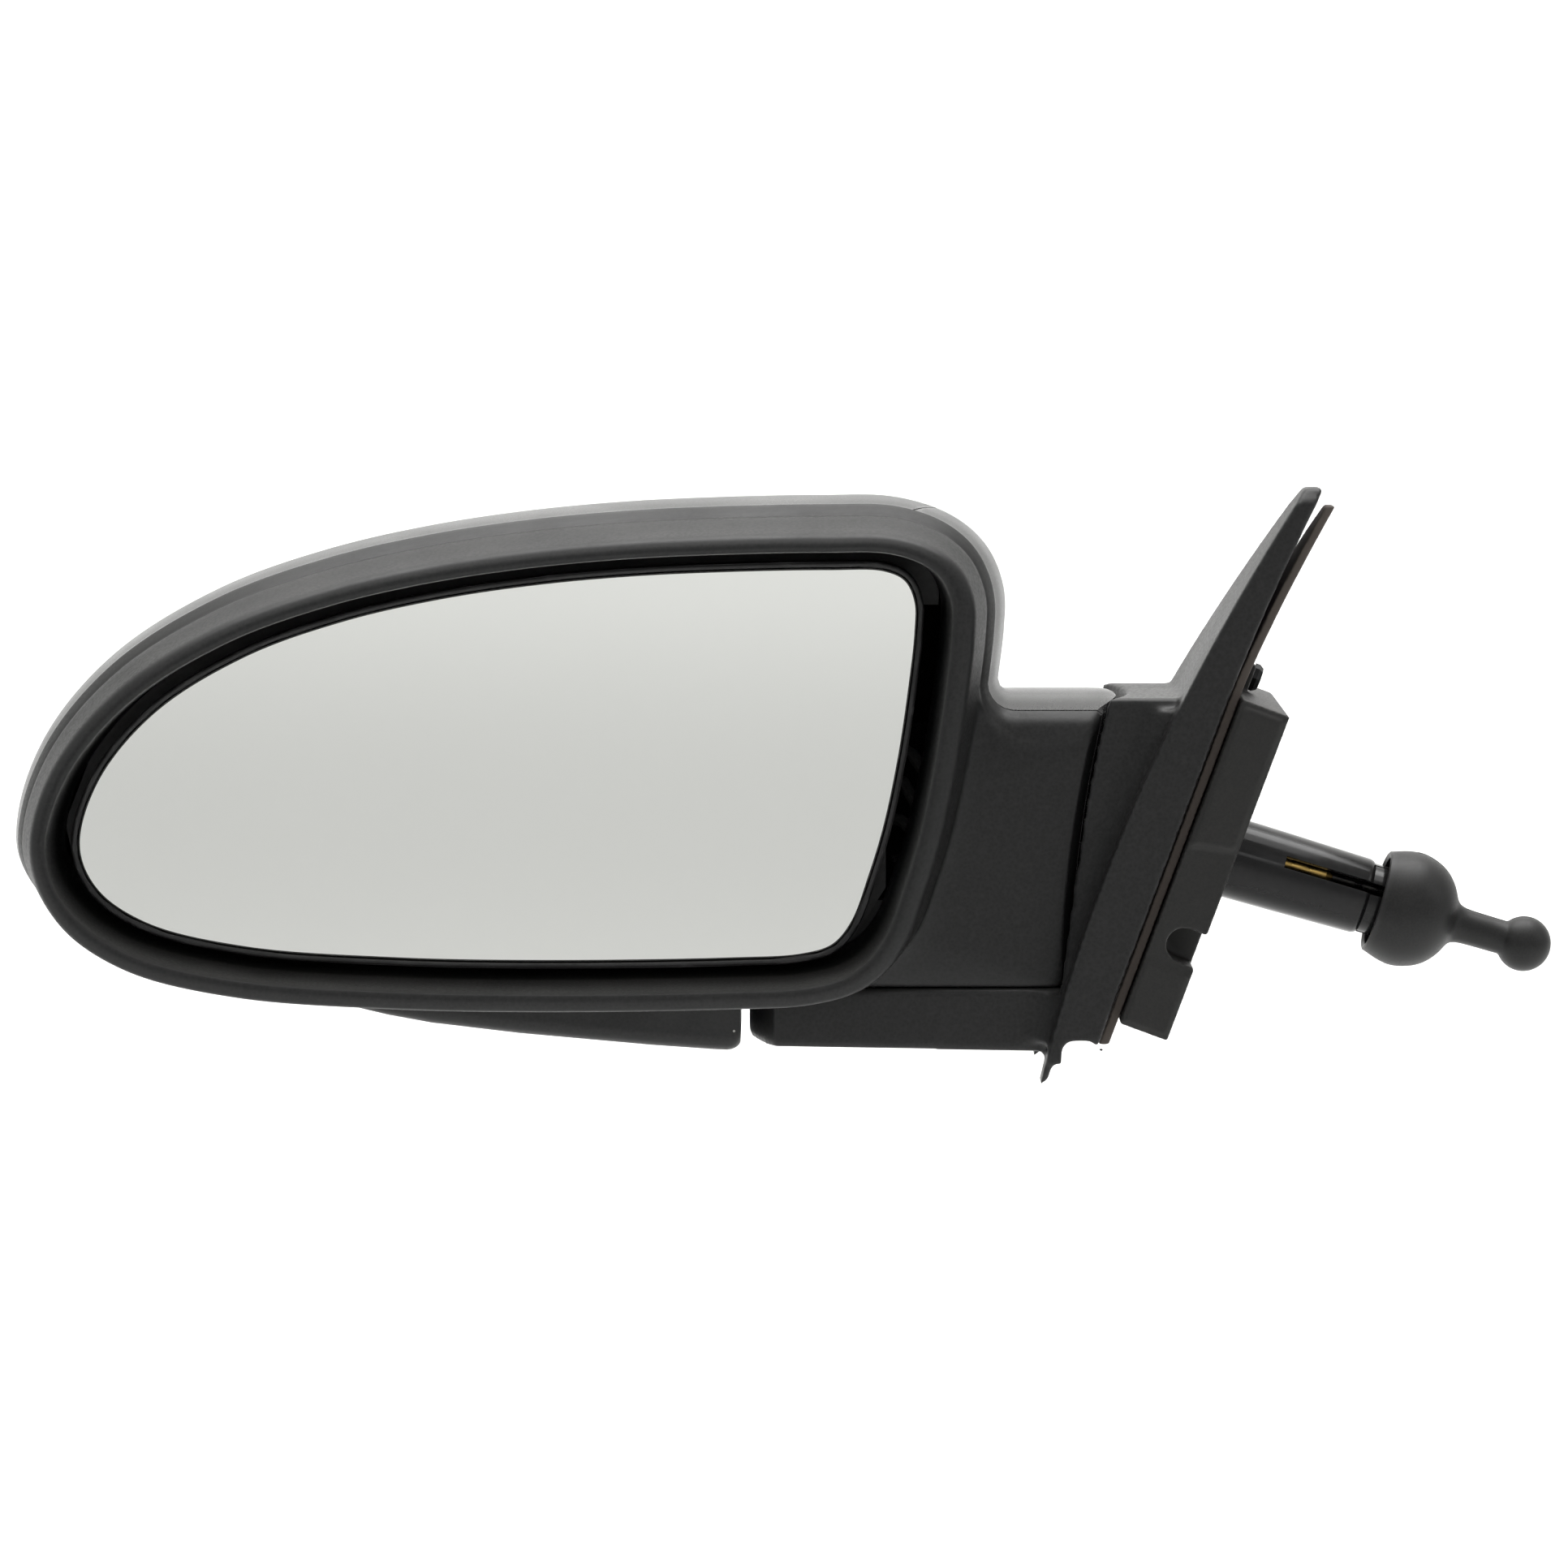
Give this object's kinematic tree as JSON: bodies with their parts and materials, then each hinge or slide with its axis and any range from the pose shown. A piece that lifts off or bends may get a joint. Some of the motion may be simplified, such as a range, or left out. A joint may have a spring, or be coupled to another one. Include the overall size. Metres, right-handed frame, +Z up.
{
  "type": "car side mirror",
  "caption": "Manual door mirror: half-oval glass in a textured shell, folding arm on a triangular base, and a cable lever standing out beyond the mounting block.",
  "frame": {"origin": "middle of the mounting block's flat face, which is bolted against the door frame", "axes": "+X into the car, +Y to the front of the car, +Z up; the mounting face leans 20.3 degrees with the door"},
  "size_m": [0.3498, 0.0968, 0.135],
  "materials": {
    "textured_plastic": "fine grained, satin",
    "cap_plastic": "smooth satin",
    "frame_plastic": "moulded",
    "mirror_glass": "polished",
    "adhesive_foam": "closed-cell foam",
    "gasket_foam": "closed-cell foam",
    "natural_nylon": "moulded",
    "steel": "zinc plated",
    "brass": "turned",
    "tube_plastic": "gloss",
    "lever_plastic": "matt",
    "cable_sheath": "extruded"
  },
  "bodies": {
    "base": {"base_bracket": "frame_plastic", "base_skin": "textured_plastic", "base_gasket": "gasket_foam", "cable_guide": "frame_plastic", "hinge_pivot": "steel", "retaining_ring": "steel", "lever_tube": "tube_plastic", "insert_rear": "brass", "insert_front": "brass", "insert_lower": "brass", "skin_screw_1": "steel", "skin_screw_2": "steel", "base_cable_first": "cable_sheath", "base_cable_second": "cable_sheath", "base_cable_third": "cable_sheath", "lever_ferrule_first": "brass", "lever_ferrule_second": "brass", "lever_ferrule_third": "brass", "lever_wire_first": "steel", "lever_wire_second": "steel", "lever_wire_third": "steel"},
    "head": {"rear_housing": "textured_plastic", "cap_cover": "cap_plastic", "inboard_shell": "cap_plastic", "lower_shell": "textured_plastic", "head_frame": "frame_plastic", "detent_ring": "steel", "hinge_bush": "natural_nylon", "hinge_spring": "steel", "spring_seat": "steel", "pivot_post": "natural_nylon", "frame_screw_1": "steel", "frame_screw_2": "steel", "frame_screw_3": "steel", "frame_screw_4": "steel", "head_cable_first": "cable_sheath", "head_cable_second": "cable_sheath", "head_cable_third": "cable_sheath", "glass_ferrule_first": "brass", "glass_ferrule_second": "brass", "glass_ferrule_third": "brass", "glass_wire_first": "steel", "glass_wire_second": "steel", "glass_wire_third": "steel"},
    "glass_gimbal": {"pivot_ring": "natural_nylon"},
    "glass": {"mirror_glass": "mirror_glass", "glass_pad": "adhesive_foam", "glass_holder": "frame_plastic"},
    "lever_gimbal": {"lever_cross": "natural_nylon"},
    "lever": {"lever_handle": "lever_plastic"}
  },
  "joints": [
    {"name": "head_fold", "type": "hinge", "parent": "base", "child": "head", "pos_m": [-0.068, -0.002, 0], "axis": [0, 0, 1], "range_deg": [0, 60]},
    {"name": "lever_fore_aft", "type": "hinge", "parent": "base", "child": "lever_gimbal", "pos_m": [0.0412, -0.014, -0.0086], "axis": [0.284, 0, 0.9588], "range_deg": [-11, 11]},
    {"name": "lever_up_down", "type": "hinge", "parent": "lever_gimbal", "child": "lever", "pos_m": [0.0412, -0.014, -0.0086], "axis": [0, 1, 0], "range_deg": [-11, 11]},
    {"name": "glass_tilt", "type": "hinge", "parent": "head", "child": "glass_gimbal", "pos_m": [-0.155, -0.012, 0.022], "axis": [1, 0, 0], "range_deg": [-6.06, 6.06]},
    {"name": "glass_pan", "type": "hinge", "parent": "glass_gimbal", "child": "glass", "pos_m": [-0.155, -0.012, 0.022], "axis": [0, 0, 1], "range_deg": [-6.06, 6.06]}
  ],
  "couplings": [
    {"joint": "glass_tilt", "follows": "lever_up_down", "ratio": 0.55},
    {"joint": "glass_pan", "follows": "lever_fore_aft", "ratio": 0.55}
  ]
}
